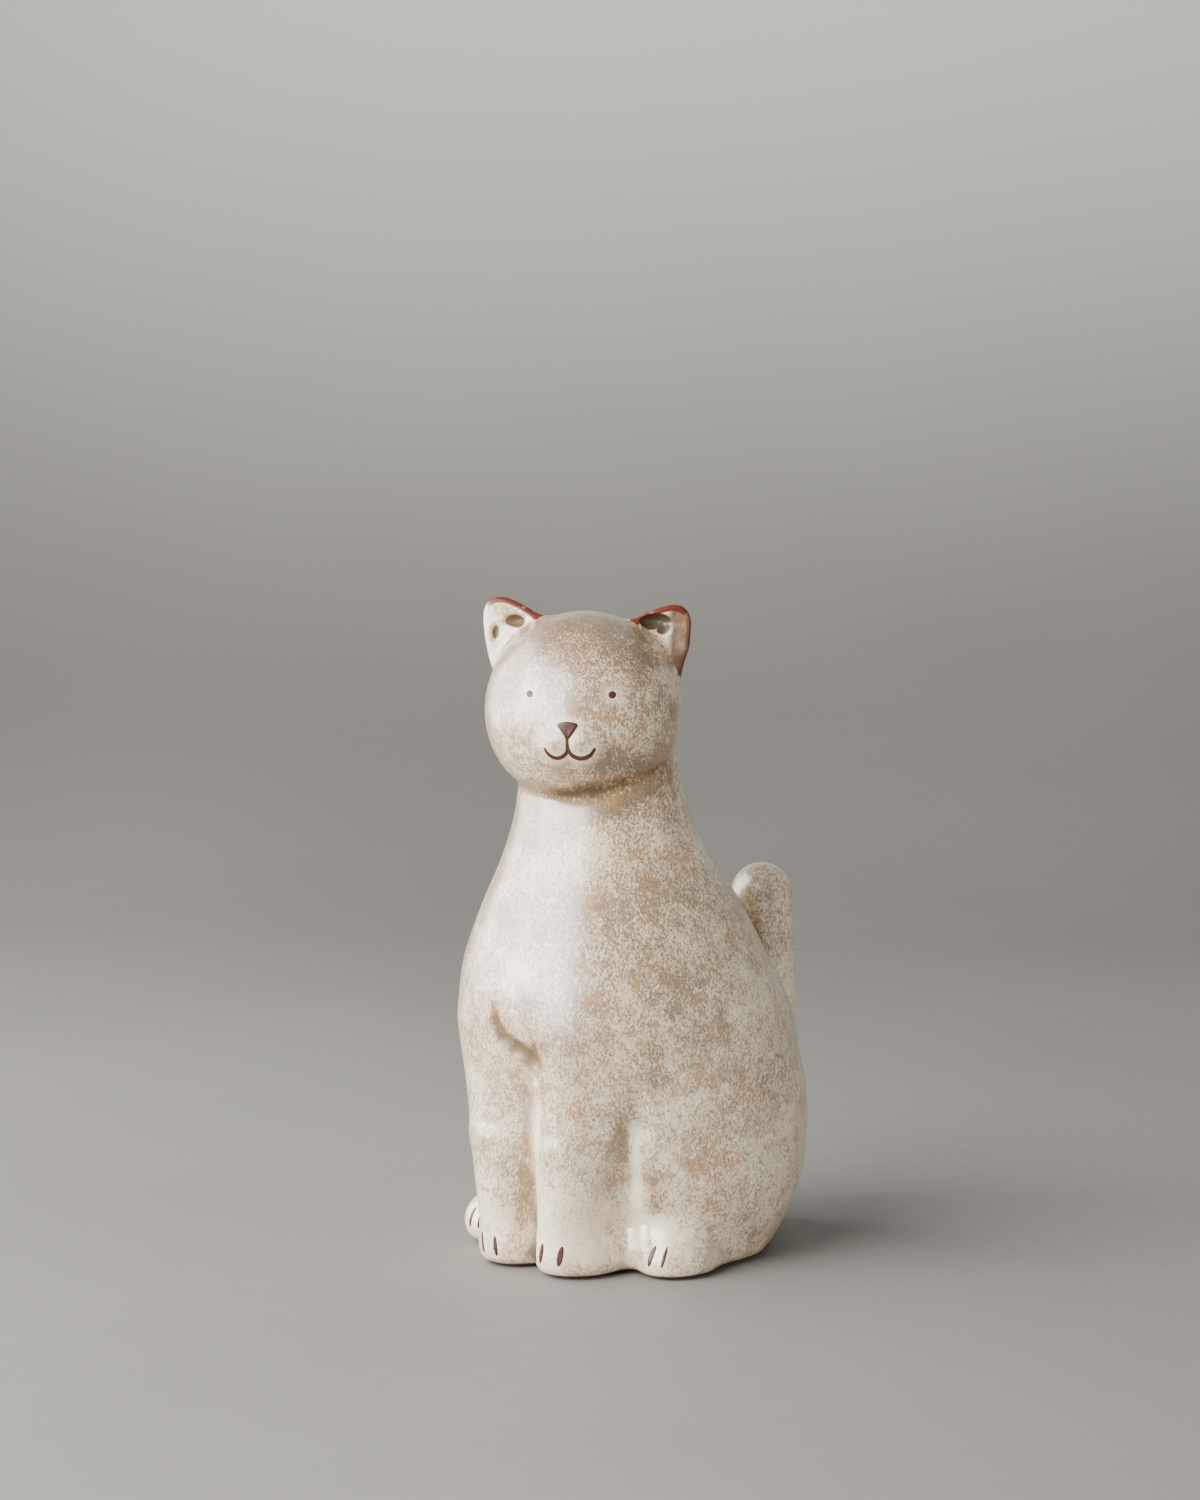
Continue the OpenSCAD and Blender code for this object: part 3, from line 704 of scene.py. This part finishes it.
class Shader:
    """A material's node tree, with short ways to add the nodes used here."""

    def __init__(self, name):
        self.material = bpy.data.materials.new(name)
        self.material.use_nodes = True
        self.tree = self.material.node_tree
        self.tree.nodes.clear()
        self.out = self.node("ShaderNodeOutputMaterial")
        self.bsdf = self.node("ShaderNodeBsdfPrincipled")
        self.link(self.bsdf.outputs[0], self.out.inputs[0])
        where = self.node("ShaderNodeTexCoord").outputs["Object"]
        self.mm = self.scaled(where, (1 / MM, 1 / MM, 1 / MM))

    def node(self, kind, **settings):
        n = self.tree.nodes.new(kind)
        for key, value in settings.items():
            setattr(n, key, value)
        return n

    def link(self, a, b):
        if hasattr(a, "is_output"):
            self.tree.links.new(a, b)
        else:
            b.default_value = a

    def scaled(self, vector, factors):
        n = self.node("ShaderNodeVectorMath", operation="MULTIPLY")
        self.link(vector, n.inputs[0])
        n.inputs[1].default_value = factors
        return n.outputs[0]

    def noise(self, size, detail=2.0, rough=0.5, distort=0.0, vector=None, seed=0.0):
        """Noise whose features are about size millimetres across."""
        n = self.node("ShaderNodeTexNoise", noise_dimensions="4D")
        self.link(vector or self.mm, n.inputs["Vector"])
        for key, value in (("W", seed), ("Scale", 1 / size), ("Detail", detail),
                           ("Roughness", rough), ("Distortion", distort)):
            n.inputs[key].default_value = value
        return n.outputs["Fac"]

    def cells(self, size, seed=0.0):
        """The distance to the nearest of scattered points about size millimetres apart."""
        n = self.node("ShaderNodeTexVoronoi", voronoi_dimensions="4D", feature="F1")
        self.link(self.mm, n.inputs["Vector"])
        n.inputs["W"].default_value = seed
        n.inputs["Scale"].default_value = 1 / size
        return n.outputs["Distance"]

    def ramp(self, x, low, high, to_low=0.0, to_high=1.0):
        """A smooth step from to_low, where x is low, to to_high, where x is high."""
        n = self.node("ShaderNodeMapRange", interpolation_type="SMOOTHSTEP", clamp=True)
        for socket, value in zip(n.inputs, (x, low, high, to_low, to_high)):
            self.link(value, socket)
        return n.outputs[0]

    def math(self, op, a, b=0.0):
        n = self.node("ShaderNodeMath", operation=op)
        self.link(a, n.inputs[0])
        self.link(b, n.inputs[1])
        return n.outputs[0]

    def plus(self, a, b):
        return self.math("ADD", a, b)

    def minus(self, a, b):
        return self.math("SUBTRACT", a, b)

    def most(self, a, b):
        return self.math("MAXIMUM", a, b)

    def times(self, *values):
        out = values[0]
        for v in values[1:]:
            out = self.math("MULTIPLY", out, v)
        return out

    def mix(self, factor, a, b):
        n = self.node("ShaderNodeMix", data_type="RGBA")
        self.link(factor, n.inputs[0])
        for value, socket in ((a, n.inputs[6]), (b, n.inputs[7])):
            self.link(value if hasattr(value, "is_output") else (*value, 1), socket)
        return n.outputs[2]

    def value(self, name):
        """One of the mesh's attributes."""
        return self.node("ShaderNodeAttribute", attribute_name=name).outputs["Fac"]

    def height(self):
        """Millimetres above the floor."""
        n = self.node("ShaderNodeSeparateXYZ")
        self.link(self.mm, n.inputs[0])
        return n.outputs[2]

    def bump(self, height, strength, distance_mm):
        n = self.node("ShaderNodeBump")
        n.inputs["Strength"].default_value = strength
        n.inputs["Distance"].default_value = distance_mm * MM
        self.link(height, n.inputs["Height"])
        self.link(n.outputs[0], self.bsdf.inputs["Normal"])

    def finish(self, **sockets):
        """Set the surface's inputs, with _ for a space in a name, and give the material."""
        for key, value in sockets.items():
            self.link(value, self.bsdf.inputs[key.replace("_", " ")])
        return self.material


# Colours of the glaze
CREAM = (0.83, 0.70, 0.50)
HIGHLIGHT_WHITE = (0.9, 0.80, 0.63)
SAND = (0.58, 0.44, 0.265)
TAN = (0.22, 0.135, 0.06)
GREY = (0.125, 0.095, 0.06)
RUST = (0.38, 0.17, 0.055)
# AMBER, OLIVE and DUSK darken the creases, the folds and the line under the chin: pooled glaze, with
# painted shade and shadow there too
AMBER = (0.28, 0.145, 0.06)
OLIVE = (0.085, 0.066, 0.036)
DUSK = (0.045, 0.034, 0.026)
EAR_BROWN = (0.115, 0.058, 0.028)
# Slip, and clay that shows through or under the glaze
SLIP = (0.055, 0.014, 0.009)
LEFT_EYE_SLIP = (0.055, 0.022, 0.016)
# the right eye's slip is lighter and pinker than the left's: slip with a painted glare on it
RIGHT_EYE_SLIP_AND_GLARE = (0.075, 0.033, 0.035)
CLAY_RED = (0.105, 0.022, 0.012)
# the foot's clay is far darker than the slab's: bare clay with a painted contact shadow
CLAY_FOOT_AND_SHADOW = (0.06, 0.018, 0.013)
CLAY_DARK, CLAY_LIGHT = (0.30, 0.115, 0.06), (0.44, 0.20, 0.115)
CLAY_SHADE, GROG = (0.20, 0.075, 0.04), (0.55, 0.36, 0.25)
# Each ear: the least and most brown on its inner face, and the colours of its pressed hollows and
# of its lower rim
# the left ear's dark hollow colour is olive glaze pooled there, darkened further as painted shade
# under its upper rim
EAR_LOOKS = {"left_ear": dict(least=0.75, most=1.0, hollow=(0.055, 0.040, 0.020),
                              low_rim=(0.12, 0.05, 0.025)),
             "right_ear": dict(least=0.0, most=0.15, hollow=(0.105, 0.07, 0.032),
                               low_rim=(0.50, 0.26, 0.15))}
LOW_RIM = 0.75  # how strongly the lower rim's colour covers the glaze
GRAIN_STRETCH = (1, 1, 0.55)    # the fine grains are drawn out downwards
STREAK_STRETCH = (1, 1, 0.12)   # and the runs of sand much more
GLAZE_LINE = 1.7, 2.3           # height over which the bare foot ends


def thickness(s, crown, stain_and_shade):
    """How thickly brown lies, from broad clouds, smaller patches and what the piece says, with its
    painted shade darker and its painted highlights paler.
    """
    dense = s.plus(s.times(s.noise(26, 3, 0.55, seed=1.3), 0.32),
                   s.times(s.noise(8, 3, 0.6, 0.8, seed=4.1), 0.32))
    extra = s.plus(s.times(crown, 0.055), s.times(stain_and_shade, 0.075))
    bare_and_highlight = s.plus(s.times(s.ramp(s.value("edge"), 0.30, 0.75), 0.07), 0.31)
    # painted highlight: the pale strips thin the brown
    bare_and_highlight = s.plus(bare_and_highlight, s.plus(s.times(s.value("paws"), 0.12), s.times(s.value("pale"), 0.15)))
    return s.minus(s.plus(dense, extra), bare_and_highlight)


def speckled(s, thick_and_painted_light, wash_and_shade, stain_and_shade, grain, speck, thread):
    """Cream with sand clouds and runs, under tan that is partly painted shade, and fine brown and grey
    grains.
    """
    dust = s.noise(0.5, 1, 0.5, seed=5.2)
    brown = s.ramp(thread, 0.46, 0.59)
    grey = s.ramp(s.plus(s.plus(s.times(speck, 0.45), s.times(dust, 0.55)),
                         s.times(thick_and_painted_light, 0.5)), 0.49, 0.59)
    sand = s.ramp(s.plus(s.noise(3.4, 3, 0.6, 0.5, seed=6.2), thick_and_painted_light), 0.34, 0.76)
    streak = s.noise(1.3, 3, 0.6, vector=s.scaled(s.mm, STREAK_STRETCH), seed=2.2)
    colour = s.mix(s.times(sand, 0.52), CREAM, SAND)
    colour = s.mix(s.times(s.ramp(streak, 0.48, 0.72), 0.30), colour, SAND)
    colour = s.mix(wash_and_shade, colour, SAND)
    colour = s.mix(s.times(stain_and_shade, 0.12), colour, TAN)
    # painted highlight: pale strips on the lit edges
    colour = s.mix(s.times(s.value("pale"), 0.55), colour, HIGHLIGHT_WHITE)
    colour = s.mix(s.times(brown, s.plus(s.times(wash_and_shade, 0.45), 0.59)), colour, TAN)
    colour = s.mix(s.times(grey, s.plus(s.times(wash_and_shade, 0.45), 0.57)), colour, GREY)
    return colour, brown


def rusted(s, colour, stain_and_shade, tall):
    """Branching veins and small blotches of rust, made of grains, in patches."""
    n = s.noise(8.5, 4, 0.6, 1.4, seed=9.4)
    vein = s.ramp(s.math("ABSOLUTE", s.minus(n, 0.5)), 0.0, 0.05, 0.22, 0.0)
    where = s.ramp(s.noise(16, 2, 0.5, 0.6, seed=5.9), 0.46, 0.62, -0.20, 0.10)
    blotch = s.ramp(s.noise(5.0, 4, 0.62, 1.2, seed=6.6), 0.52, 0.72, 0.0, 0.22)
    rust = s.plus(s.plus(s.most(vein, blotch), where), s.times(stain_and_shade, 0.13))
    rust = s.ramp(s.plus(rust, s.noise(0.8, 3, 0.6, vector=tall, seed=8.1)), 0.58, 0.84)
    return s.mix(s.times(rust, 0.75), colour, RUST)


def pooled_and_shaded(s, colour, chin_stain_and_shadow, fold, grain, thread):
    """Glaze pools darker in creases and folds, and darkest under the chin. The same darkening is also
    painted shade in the creases and folds, and a painted shadow under the chin.
    """
    # painted shade: crease is how much of the figure closes over a point, so hollows darken as in
    # shade, on top of the pooled glaze
    deep = s.plus(s.value("crease"), s.times(fold, 0.75))
    pool_and_shade = s.plus(deep, s.times(s.minus(thread, 0.5), 1.1))
    colour = s.mix(s.times(s.ramp(pool_and_shade, 0.22, 0.62), 0.60), colour, AMBER)
    colour = s.mix(s.times(s.ramp(pool_and_shade, 0.50, 0.90), 0.75), colour, OLIVE)
    patchy = s.plus(s.times(grain, 1.8), s.times(s.noise(5, 2, 0.5, seed=4.4), 0.7))
    line = s.plus(chin_stain_and_shadow, s.minus(patchy, 1.25))
    colour = s.mix(s.times(s.ramp(line, 0.15, 0.60), 0.65), colour, TAN)
    return s.mix(s.times(s.ramp(line, 0.35, 0.95), 0.75), colour, DUSK)


def ear_glaze(s, colour, dull, looks, grain):
    """An ear's brown inner face, pressed hollows and rims, where the coat is thin and dull."""
    inner = s.value("inner")
    pit = s.plus(s.value("pit"), s.times(s.minus(grain, 0.5), 0.5))
    tint = s.ramp(s.noise(4.5, 3, 0.6, seed=2.9), 0.3, 0.6, looks["least"], looks["most"])
    colour = s.mix(s.times(inner, tint), colour, EAR_BROWN)
    colour = s.mix(s.times(s.ramp(pit, 0.0, 0.30), 0.97), colour, looks["hollow"])
    broken = s.ramp(s.noise(2.2, 3, 0.6, seed=1.9), 0.28, 0.45, 0.75, 1.0)
    colour = s.mix(s.times(s.value("rim_low"), LOW_RIM), colour, looks["low_rim"])
    colour = s.mix(s.times(s.ramp(s.value("rim"), 0.25, 0.6), broken), colour, CLAY_RED)
    matt = s.most(s.value("rim"), s.times(inner, looks["least"]))
    return colour, s.most(dull, s.most(matt, s.value("pit")))


def glaze(name, ear=None):
    """Speckled cream glaze over dark clay. ear holds an ear's own looks."""
    s = Shader(name)
    stain_and_shade, chin_stain_and_shadow, crown, fold = (s.value(key) for key in ("stain_and_shade", "chin_stain_and_shadow", "crown", "fold"))
    tall = s.scaled(s.mm, GRAIN_STRETCH)
    thick_and_painted_light = thickness(s, crown, stain_and_shade)
    wash_and_shade = s.plus(s.times(crown, 0.52), s.times(stain_and_shade, 0.40))
    grain = s.noise(1.3, 3, 0.68, 0.4, vector=tall, seed=7.7)
    speck = s.noise(0.66, 2, 0.65, 0.5, vector=tall, seed=3.3)
    thread = s.plus(s.plus(s.times(grain, 0.45), s.times(speck, 0.55)), thick_and_painted_light)
    colour, brown = speckled(s, thick_and_painted_light, wash_and_shade, stain_and_shade, grain, speck, thread)
    colour = rusted(s, colour, stain_and_shade, tall)
    colour = pooled_and_shaded(s, colour, chin_stain_and_shadow, fold, grain, thread)
    # pale halo where glaze draws back from a mark
    colour = s.mix(s.times(s.value("mark"), 0.6), colour, CREAM)
    dull = s.most(s.ramp(chin_stain_and_shadow, 0.15, 0.45), s.times(fold, 0.9))
    if ear:
        colour, dull = ear_glaze(s, colour, dull, ear, grain)
    # bare clay shows at the foot, under the glaze line, darkened by a painted contact shadow
    foot = s.ramp(s.plus(s.height(), s.times(s.noise(6, 2, seed=2.7), 0.8)), *GLAZE_LINE, 1, 0)
    colour = s.mix(s.times(foot, 0.92), colour, CLAY_FOOT_AND_SHADOW)
    dull = s.most(dull, foot)
    rough = s.plus(s.ramp(brown, 0, 1, 0.32, 0.44), s.times(foot, 0.35))
    orange_peel = s.plus(s.times(s.noise(4.0, 2, 0.5, seed=0.7), 0.8), s.times(grain, 0.12))
    s.bump(orange_peel, 0.55, 0.25)
    return s.finish(Base_Color=colour, Roughness=rough, Coat_Weight=s.ramp(dull, 0, 1, 1, 0.05),
                    Specular_IOR_Level=s.ramp(dull, 0, 1, 0.5, 0.12),
                    Coat_Roughness=0.28, Coat_IOR=2.15, IOR=1.5)


def slip(name, tone):
    """Brushed slip, in darker and lighter streams, and warmer and duller where it is thin."""
    s = Shader(name)
    flow = s.noise(1.6, 3, 0.6, seed=3.1)
    thin = s.ramp(s.noise(0.5, 2, 0.6, seed=6.4), 0.40, 0.72)
    dark = tuple(c * 0.55 for c in tone)
    warm = tuple(min(c * f, 1) for c, f in zip(tone, (2.1, 1.9, 1.8)))
    colour = s.mix(s.ramp(flow, 0.35, 0.65), dark, tone)
    colour = s.mix(s.times(thin, 0.45), colour, warm)
    s.bump(flow, 0.35, 0.1)
    return s.finish(Base_Color=colour, Roughness=s.ramp(thin, 0, 1, 0.30, 0.48),
                    Coat_Weight=0.15, Coat_Roughness=0.25, IOR=1.45)


def bare_clay(name):
    """Unglazed clay with pale grog in it."""
    s = Shader(name)
    grog = s.ramp(s.cells(1.3, seed=2.0), 0.10, 0.35, 1, 0)
    tone = s.noise(14, 4, 0.6, seed=5.5)
    grain = s.noise(0.7, 3, 0.7, seed=1.1)
    colour = s.mix(s.ramp(tone, 0.35, 0.65), CLAY_DARK, CLAY_LIGHT)
    colour = s.mix(s.times(s.ramp(grain, 0.45, 0.75), 0.35), colour, CLAY_SHADE)
    colour = s.mix(s.times(grog, 0.4), colour, GROG)
    s.bump(s.plus(grain, s.times(grog, 0.5)), 0.6, 0.3)
    return s.finish(Base_Color=colour, Roughness=s.ramp(grain, 0.3, 0.7, 0.78, 0.95), IOR=1.45)


# The floor's two tones and its grain, and the backdrop's tone, with the heights in millimetres
# between which the one turns into the other
FLOOR_LOW, FLOOR_HIGH = (0.175, 0.168, 0.155), (0.200, 0.192, 0.177)
FLOOR_GRAIN = (0.19, 0.184, 0.172)
BACKDROP = (0.64, 0.625, 0.59)
BACKDROP_RISE = 60, 700


def floor_material():
    s = Shader("floor_matt")
    tone = s.noise(420, 4, 0.5, seed=2.5)
    grain = s.noise(9, 3, 0.6, seed=8.8)
    colour = s.mix(s.ramp(tone, 0.3, 0.7), FLOOR_LOW, FLOOR_HIGH)
    colour = s.mix(s.times(s.ramp(grain, 0.4, 0.7), 0.10), colour, FLOOR_GRAIN)
    colour = s.mix(s.ramp(s.height(), *BACKDROP_RISE), colour, BACKDROP)
    return s.finish(Base_Color=colour, Roughness=s.ramp(grain, 0.3, 0.7, 0.62, 0.72))


# ------------------------------------------------------------------ build


def make_piece(name, field, lo, hi, h, extra=None, level=None):
    """A mesh object of the field's surface in cells of h, inside the CAD's box. extra works out
    its attributes, and level is the field whose slope shades it where the two agree."""
    p, faces = surface(field, lo, hi, h * (1))
    p = np.clip(p, CAD_LOW, CAD_HIGH)
    mesh = bpy.data.meshes.new(name)
    mesh.vertices.add(len(p))
    mesh.vertices.foreach_set("co", (p * MM).astype(np.float32).ravel())
    mesh.loops.add(faces.size)
    mesh.loops.foreach_set("vertex_index", faces.ravel().astype(np.int32))
    mesh.polygons.add(len(faces))
    mesh.polygons.foreach_set("loop_start", np.arange(0, faces.size, 4, dtype=np.int32))
    mesh.update(calc_edges=True)
    mesh.polygons.foreach_set("use_smooth", np.ones(len(faces), bool))
    if level is not None:
        # where a piece meets its neighbour, both take the slope of the glaze that joins them
        n = np.empty(len(p) * 3, np.float32)
        mesh.vertices.foreach_get("normal", n)
        n = n.reshape(-1, 3)
        glazed = np.abs(sample(level, p)) < 0.5
        n[glazed] = way_out(level, p)[glazed]
        mesh.normals_split_custom_set_from_vertices(n.tolist())
    for key, values in (extra(p) if extra else {}).items():
        mesh.attributes.new(key, "FLOAT", "POINT").data.foreach_set(
            "value", values.astype(np.float32))
    ob = bpy.data.objects.new(name, mesh)
    bpy.context.collection.objects.link(ob)
    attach(ob, "root")
    return ob


def mm_box(node, grow):
    """The CAD node's box in millimetres, with room round it."""
    lo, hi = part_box(node)
    return [c / MM - grow for c in lo], [c / MM + grow for c in hi]


def place(name, field, h, material, slot_name, extra=None, grow=1.5):
    """The visible piece that stands for a CAD node, meshed in cells of h millimetres."""
    lo, hi = mm_box(name, grow)
    level = figure if slot_name == "glaze" else None
    suffix = "_glazed" if slot_name == "glaze" else "_slip"
    ob = make_piece(name + suffix, field, lo, hi, h, extra, level)
    ob.data.materials.append(material)
    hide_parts(name)
    return ob


glaze_body = glaze("cream_glaze")
glaze_ear = {name: glaze("cream_glaze_" + name, looks) for name, looks in EAR_LOOKS.items()}
slip_dark = slip("brown_slip", SLIP)
slip_eye = {"left_eye": slip("brown_slip_eye", LEFT_EYE_SLIP),
            "right_eye": slip("right_eye_slip_and_glare", RIGHT_EYE_SLIP_AND_GLARE)}
clay = bare_clay("bare_clay")

place("body_shell", body_piece, 1.0, glaze_body, "glaze", with_glaze(near_toes))
place("head_shell", head_piece, 0.6, glaze_body, "glaze", with_glaze(near_face))
for name in EARS:
    place(name, ear_piece(name), 0.4, glaze_ear[name], "glaze", with_glaze(ear_marks(name)),
          grow=3)
place("tail", tail_piece, 0.9, glaze_body, "glaze", with_glaze())
for name, x in EYES.items():
    place(name, inlay(lambda q, x=x: eye(q, x), 0.14), 0.16, slip_eye[name], "slip")
place("nose", inlay(nose, 0.55, soft=0.9), 0.2, slip_dark, "slip")
place("mouth", inlay(mouth, 0.10, soft=0.25), 0.17, slip_dark, "slip")
for name, lines in TOES.items():
    place(name, inlay(toe_marks(lines), 0.02, soft=0.25, in_head=False), 0.2, slip_dark, "slip")

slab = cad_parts["base_slab"]
if slab.material_slots:
    for s in slab.material_slots:
        s.material = clay
else:
    slab.data.materials.append(clay)

# ------------------------------------------------------------------ studio

# Where the camera stands, in degrees and metres from the point AIM, and how far that point lies
# right of the frame's centre and below it, as shares of the frame's height
CAMERA_AZ, CAMERA_EL, CAMERA_M = 42.0, 8.0, 1.2
AIM = Vector((0, 0, 0.115))
AIM_RIGHT, AIM_DOWN = 0.0227, 0.108
LENS, SENSOR = 85.0, 36.0
# The floor, in metres: half its width, its near edge, where it starts to curve up, the curve's
# radius, and the top of the backdrop
FLOOR_HALF, FLOOR_NEAR, FLOOR_BEND, BEND_RADIUS, BACKDROP_TOP = 4.0, -3.0, 0.7, 0.9, 4.0
WARM, COOL, WHITE = (1, 0.985, 0.96), (0.97, 0.98, 1), (1, 1, 1)
# Panels round the object: name, degrees to the camera's left, distance, height, width and height
# of the panel, watts, tint, and the height it is aimed at
LIGHTS = [("key", 52, 0.95, 0.80, (1.2, 0.9), 27, WARM, 0.72),
          ("key_inner", 52, 0.95, 0.80, (0.85, 0.7), 17, WARM, 0.72),
          ("key_low", 52, 0.95, 0.18, (1.2, 0.34), 14, WARM, 0.18),
          ("side", 104, 0.9, 0.6, (1.0, 1.2), 22, WARM, 0.6),
          ("fill", -62, 1.3, 0.3, (1.0, 0.5), 9.5, COOL, 0.1)]
NO_REFLECTION = ("fill",)
TOP_LIGHT = (0.15, 0.35, 1.7), (1.6, 1.6), 2  # place, size, watts
SKY, SKY_STRENGTH = (0.93, 0.96, 1, 1), 0.12


def floor():
    """A pale floor that curves up into a backdrop far behind."""
    profile = [(FLOOR_NEAR, 0.0), (FLOOR_BEND, 0.0)]
    profile += [(FLOOR_BEND + BEND_RADIUS * math.sin(math.radians(a)),
                 BEND_RADIUS - BEND_RADIUS * math.cos(math.radians(a)))
                for a in range(6, 91, 6)]
    profile.append((FLOOR_BEND + BEND_RADIUS, BACKDROP_TOP))
    verts, faces = [], []
    for y, z in profile:
        verts += [(-FLOOR_HALF, y, z), (FLOOR_HALF, y, z)]
    for i in range(len(profile) - 1):
        faces.append((2 * i, 2 * i + 1, 2 * i + 3, 2 * i + 2))
    mesh = bpy.data.meshes.new("floor")
    mesh.from_pydata(verts, [], faces)
    mesh.polygons.foreach_set("use_smooth", [True] * len(faces))
    ob = bpy.data.objects.new("floor", mesh)
    ob.rotation_euler = (0, 0, math.radians(CAMERA_AZ))
    ob.data.materials.append(floor_material())
    bpy.context.collection.objects.link(ob)


def camera():
    """A camera at CAMERA_AZ and CAMERA_EL round AIM, turned until AIM lies where it should."""
    a, e = math.radians(CAMERA_AZ), math.radians(CAMERA_EL)
    back = Vector((math.sin(a) * math.cos(e), -math.cos(a) * math.cos(e), math.sin(e)))
    data = bpy.data.cameras.new("camera")
    data.lens, data.sensor_width, data.sensor_fit = LENS, SENSOR, "AUTO"
    data.clip_start = 0.01
    ob = bpy.data.objects.new("camera", data)
    bpy.context.collection.objects.link(ob)
    ob.location = AIM + back * CAMERA_M
    yaw, pitch = math.atan2(-back.y, -back.x), -e
    right_share, up_share = AIM_RIGHT * SENSOR / LENS, -AIM_DOWN * SENSOR / LENS
    # each round turns the camera by what is still missing
    for _ in range(30):
        ahead = Vector((math.cos(yaw) * math.cos(pitch), math.sin(yaw) * math.cos(pitch),
                        math.sin(pitch)))
        right = Vector((math.sin(yaw), -math.cos(yaw), 0))
        up = right.cross(ahead)
        seen = -back / (-back).dot(ahead)
        yaw += right_share - seen.dot(right)
        pitch -= up_share - seen.dot(up)
    ob.rotation_euler = Matrix((right, up, -ahead)).transposed().to_euler()
    bpy.context.scene.camera = ob


def area_light(name, at, size, watts, colour=WHITE, aim=AIM):
    data = bpy.data.lights.new(name, "AREA")
    data.shape, data.size, data.size_y = "RECTANGLE", *size
    data.energy, data.color = watts, colour
    ob = bpy.data.objects.new(name, data)
    bpy.context.collection.objects.link(ob)
    ob.location = at
    ob.rotation_euler = (Vector(aim) - Vector(at)).to_track_quat("-Z", "Y").to_euler()
    ob.visible_camera = False
    ob.visible_glossy = name not in NO_REFLECTION


def studio():
    floor()
    camera()
    for name, left, distance, height, size, watts, colour, aim_height in LIGHTS:
        a = math.radians(CAMERA_AZ) - math.radians(left)
        at = (distance * math.sin(a), -distance * math.cos(a), height)
        area_light(name, at, size, watts, colour, (0, 0, aim_height))
    area_light("top", *TOP_LIGHT)
    world = bpy.data.worlds.new("studio")
    world.use_nodes = True
    background = world.node_tree.nodes["Background"]
    background.inputs[0].default_value = SKY
    background.inputs[1].default_value = SKY_STRENGTH
    bpy.context.scene.world = world


studio()
